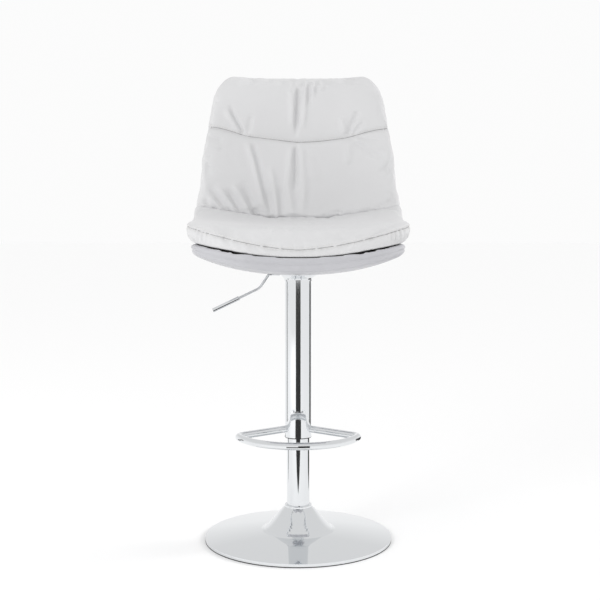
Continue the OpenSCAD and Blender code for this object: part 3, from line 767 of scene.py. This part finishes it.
class STOOL_OT_back_cushion(bpy.types.Operator):
    """Back cushion: two panels with a curved seam, tucks, gathers and loose folds"""
    bl_idname = "stool.back_cushion"
    bl_label = "Back cushion"

    def execute(self, context):
        sizes = context.scene.stool_seat
        form = bucket()
        rings = []
        for u in eased(1.02, 1.998, 60):
            t = u - 1
            root = (1 - t) ** 3
            thin = 0.45 + 0.55 * float(end_share((1 - t) / 0.12, 2))
            # 46 mm thick in the middle and 39 mm at the sides, 65 mm at the root and thinner at the top
            crown = (46 + 19 * root) * thin * MM
            side = (39 + 26 * root) * thin * MM
            rings.append(pad_ring(form, u, 4 * MM, side, crown, 26 * MM))
        piece = skin("back_cushion_cover", rings)
        inflate(piece, form, 7 * MM, 8 * MM)
        co = coordinates(piece)
        out = normals(piece)
        flat = co[:, [0, 2]]
        front = np.clip((-out[:, 1] - 0.15) / 0.3, 0, 1)
        d, _ = to_line(flat, curved(np.array(BACK_SEAM) * MM, 60))
        # the panels pillow away from the seam over about 24 mm
        field = groove(d, sizes.seam_depth * 1.3, 2.3 * MM) - 4.5 * MM * np.exp(-d / (24 * MM))
        for line, height, width in BACK_FOLDS:
            field = field + fold(flat, np.array(line) * MM, FOLD_GAIN * height * MM, width * MM)
        # folds die out just under the top edge
        front *= np.clip((sizes.back_top - 3 * MM - co[:, 2]) / (12 * MM), 0.2, 1)
        set_coordinates(piece, co + out * (front * field)[:, None])
        finish_cover(piece, "back_cushion", "Polyurethane leather, back")
        seam = curved(np.array(BACK_SEAM) * MM, 80)
        route = cast(piece, [(x, -0.2, z) for x, z in seam], [(0, 1, 0)] * len(seam))
        # dark bead along the seam: painted shade of its gap
        seam_shadow_line("back_seam_shadow", piece, route)
        sew("back_stitches", piece, route, (4.2 * MM,))
        return {"FINISHED"}


class STOOL_OT_padded_shell(bpy.types.Operator):
    """Padded outer shell: one cover over the whole bucket with a seam around its lip"""
    bl_idname = "stool.padded_shell"
    bl_label = "Padded shell"

    def execute(self, context):
        sizes = context.scene.stool_seat
        form = bucket()
        rings = []
        for u in np.concatenate([eased(0.01, 0.99, 50), eased(1.01, 1.985, 50)]):
            # 30 mm thick under the seat, thinner up the back, with a recess for the board
            low = (-30 if u <= 1 else -30 * (1.3 - 0.3 * u)) * MM + UNDERSIDE
            recess = 10.5 * MM * float(np.clip(min(u - 0.03, 1.955 - u) / 0.03, 0.02, 1))
            w = float(form.half_width(u)) - (7 - 4 * min(1, max(0, 4 * (u - 1)))) * MM
            across = np.linspace(-1, 1, 41)
            corner = np.linspace(-pi / 2, pi / 2, 11)
            r = min(14 * MM, w * 0.4)
            lip = max(float(form.half_width(u)) - 26 * MM, w * 0.3)
            low_n = low * (1 - 0.1 * np.abs(across) ** 6)
            bottom = form.at(across * (w - r), u, low_n)
            mid = low * 0.9 / 2
            right = form.at(w - r + r * np.cos(corner), u, mid - mid * np.sin(corner))
            left = form.at(-(w - r + r * np.cos(corner)), u, mid + mid * np.sin(corner))
            floor = form.at(across[::-1] * lip, u, -recess)
            edges = [form.at([x], u, -0.4 * MM) for x in (lip, -lip)]
            rings.append(np.concatenate([bottom, right[1:], edges[0], floor, edges[1], left[:-1]]))
        piece = skin("padded_shell_cover", rings)
        inflate(piece, form, 2.5 * MM, -99 * MM)
        co = coordinates(piece)
        out = normals(piece)
        x, u, n = form.locate(co)
        # the seam lies 18 mm below the lip, and fades where the underside is far from the outline
        inside = np.minimum(form.half_width(np.clip(u, 0, 2)) - np.abs(x), form.reach * np.clip(u, 0, 2 - u))
        rim = np.clip(1.6 - inside / (26 * MM), 0, 1)
        field = rim * groove(n + 18 * MM, sizes.seam_depth, 2.3 * MM) * (n < -4 * MM)
        co = co + out * field[:, None]
        # the cover is stapled up around the mounting plate
        half = (PLATE_BOX[1].x - PLATE_BOX[0].x) / 2 + 1.5 * MM
        under = (np.abs(co[:, 0]) < half) & (np.abs(co[:, 1]) < half) & (co[:, 2] < PLATE_BOX[1].z + 0.6 * MM)
        co[under, 2] = PLATE_BOX[1].z + 0.6 * MM
        set_coordinates(piece, co)
        finish_cover(piece, "padded_shell", "Polyurethane leather, shell")
        return {"FINISHED"}


class STOOL_OT_finishes(bpy.types.Operator):
    """Materials of the whole stool, and the finishes of its metal, rubber and plastic parts"""
    bl_idname = "stool.finishes"
    bl_label = "Finishes"

    def execute(self, context):
        colours = context.scene.stool_finish
        coated_leather("Polyurethane leather, seat", colours.seat_hide)
        coated_leather("Polyurethane leather, back", colours.seat_hide)
        coated_leather("Polyurethane leather, shell", colours.shell_hide)
        moulded("Polyester sewing thread", colours.thread, 0.6, 0.6)
        # mid grey bead along the seams: painted shade of the gap between the panels
        moulded("Painted seam shadow", "#9A9998", 0.7, 0.8)
        by_slot = {
            "chrome": plated_chrome("Chrome plate, polished", colours.chrome, 0.05),
            "rod_chrome": plated_chrome("Hard chrome, ground", "#C4C6C8", 0.12),
            "steel": turned_steel("Zinc plated steel", "#9A9C9F"),
            "rubber": moulded("Nitrile rubber, moulded", colours.rubber, 0.7, 1.0),
            "black_plastic": moulded("Acetal, moulded", "#1B1B1C", 0.45, 0.9),
            "plywood": beech_ply("Beech plywood, moulded"),
        }
        for part in frame["record"]["subparts"]:
            material = by_slot.get(part["material_slot"])
            if material is not None:
                node = frame["nodes"][part["node"]]
                node.data.materials.clear()
                node.data.materials.append(material)
        return {"FINISHED"}


def wedge(low, high, near, far, tip):
    """Outline on the floor between two azimuths (degrees, 0 towards the camera), with a pointed near end."""
    sweep = [(a, far) for a in np.linspace(low, high, 8)]
    corners = [((low + high) / 2, tip), (low, near)] + sweep + [(high, near)]
    return [(sin(radians(a)) * r, -cos(radians(a)) * r, 0.3 * MM) for a, r in corners]


# Outlines above the floor, in metres
FLAGS = {
    "front_flag": wedge(-21, 21, 0.95, 6.8, 0.42),
    "left_flag": wedge(-119, -110, 0.8, 6.8, 0.5),
    "right_flag": wedge(115, 146, 0.7, 6.8, 0.42),
    "front_card": [(0.2, -4, 0.35), (1.1, -4, 0.35), (1.1, -4, 1.7), (0.2, -4, 1.7)],
}


class STOOL_OT_stage(bpy.types.Operator):
    """Pale studio floor, soft box, wide sun, black cloths, sky dome and the camera"""
    bl_idname = "stool.stage"
    bl_label = "Stage"

    def execute(self, context):
        scene = context.scene
        stage = scene.stool_stage
        scene.view_settings.view_transform = "Standard"
        floor = new_object("studio_floor", [(-9, -7, 0), (9, -7, 0), (9, 12, 0), (-9, 12, 0)], [(0, 1, 2, 3)])
        floor.location.z = CAD_BOUNDS[0][2] - 0.05 * MM
        material, _, shader = blank("Seamless paper, white")
        put(shader, Base_Color=linear("#FBFBFB"), Roughness=1.0, Specular_IOR_Level=0.0)
        floor.data.materials.append(material)

        eye = bpy.data.cameras.new("studio_camera")
        eye.lens = stage.lens
        eye.sensor_width = 36
        eye.shift_x = 0.003
        camera = bpy.data.objects.new("studio_camera", eye)
        camera.location = (0, -stage.camera_distance, stage.camera_height)
        camera.rotation_euler = (pi / 2 - stage.camera_tilt, 0, 0)
        scene.collection.objects.link(camera)
        scene.camera = camera

        # a soft box at the front left, and a low wide sun from the right that casts a soft shadow
        lamp = bpy.data.lights.new("left_box", "AREA")
        lamp.shape = "SQUARE"
        lamp.size = 1.3
        lamp.energy = 26
        sun = bpy.data.lights.new("right_sun", "SUN")
        sun.angle = radians(26)
        sun.energy = 1.15
        for source, place in ((lamp, (-2.0, -2.2, 1.7)), (sun, (2.6, 0.7, 2.2))):
            made = bpy.data.objects.new(source.name, source)
            made.location = place
            made.visible_glossy = False
            made.rotation_euler = (Vector((0, 0, 0.7)) - Vector(place)).to_track_quat("-Z", "Y").to_euler()
            scene.collection.objects.link(made)

        black, _, shader = blank("Black flag cloth")
        put(shader, Base_Color=(0.004, 0.004, 0.004, 1), Roughness=0.9)
        # black cloths on the floor and a card behind the camera: polished metal
        # picks them up as dark stripes, nothing else does
        for name, outline in FLAGS.items():
            flag = new_object(name, [(x, y, z + CAD_BOUNDS[0][2]) for x, y, z in outline],
                              [tuple(range(len(outline)))])
            flag.data.materials.append(black)
            flag.visible_camera = False
            flag.visible_diffuse = False
            flag.visible_shadow = False

        world = bpy.data.worlds.new("studio_dome")
        scene.world = world
        world.use_nodes = True
        tree = world.node_tree
        tree.nodes.clear()
        place = add(tree, "ShaderNodeTexCoord")
        axes = add(tree, "ShaderNodeSeparateXYZ", {"Vector": (place, "Generated")})
        # white all around at eye level and dimmer overhead
        level = add(tree, "ShaderNodeMapRange", {"Value": (axes, "Z"), "From Min": 0.16, "From Max": 0.4,
                                                 "To Min": 0.97, "To Max": 0.8})
        sky = add(tree, "ShaderNodeBackground", {"Color": (1, 1, 1, 1), "Strength": (level, "Result")})
        add(tree, "ShaderNodeOutputWorld", {"Surface": (sky, "Background")})
        return {"FINISHED"}


class STOOL_PT_panel(bpy.types.Panel):
    """Lists the steps that dress the stool"""
    bl_label = "Swivel stool"
    bl_idname = "STOOL_PT_panel"
    bl_space_type = "VIEW_3D"
    bl_region_type = "UI"
    bl_category = "Stool"

    def draw(self, context):
        layout = self.layout
        for settings in (context.scene.stool_seat, context.scene.stool_finish, context.scene.stool_stage):
            box = layout.box()
            for key in settings.__annotations__:
                box.prop(settings, key)
        for step in STEPS:
            layout.operator(step.bl_idname)


STEPS = (STOOL_OT_finishes, STOOL_OT_seat_cushion, STOOL_OT_back_cushion, STOOL_OT_padded_shell,
         STOOL_OT_stage)
SETTINGS = (StoolSeatSettings, StoolFinishSettings, StoolStageSettings)


def register():
    for one in SETTINGS + STEPS + (STOOL_PT_panel,):
        bpy.utils.register_class(one)
    bpy.types.Scene.stool_seat = bpy.props.PointerProperty(type=StoolSeatSettings)
    bpy.types.Scene.stool_finish = bpy.props.PointerProperty(type=StoolFinishSettings)
    bpy.types.Scene.stool_stage = bpy.props.PointerProperty(type=StoolStageSettings)


def unregister():
    del bpy.types.Scene.stool_stage
    del bpy.types.Scene.stool_finish
    del bpy.types.Scene.stool_seat
    for one in reversed(SETTINGS + STEPS + (STOOL_PT_panel,)):
        bpy.utils.unregister_class(one)


def main():
    register()
    bpy.ops.stool.finishes()
    bpy.ops.stool.seat_cushion()
    bpy.ops.stool.back_cushion()
    bpy.ops.stool.padded_shell()
    bpy.ops.stool.stage()


if __name__ == "__main__":
    main()
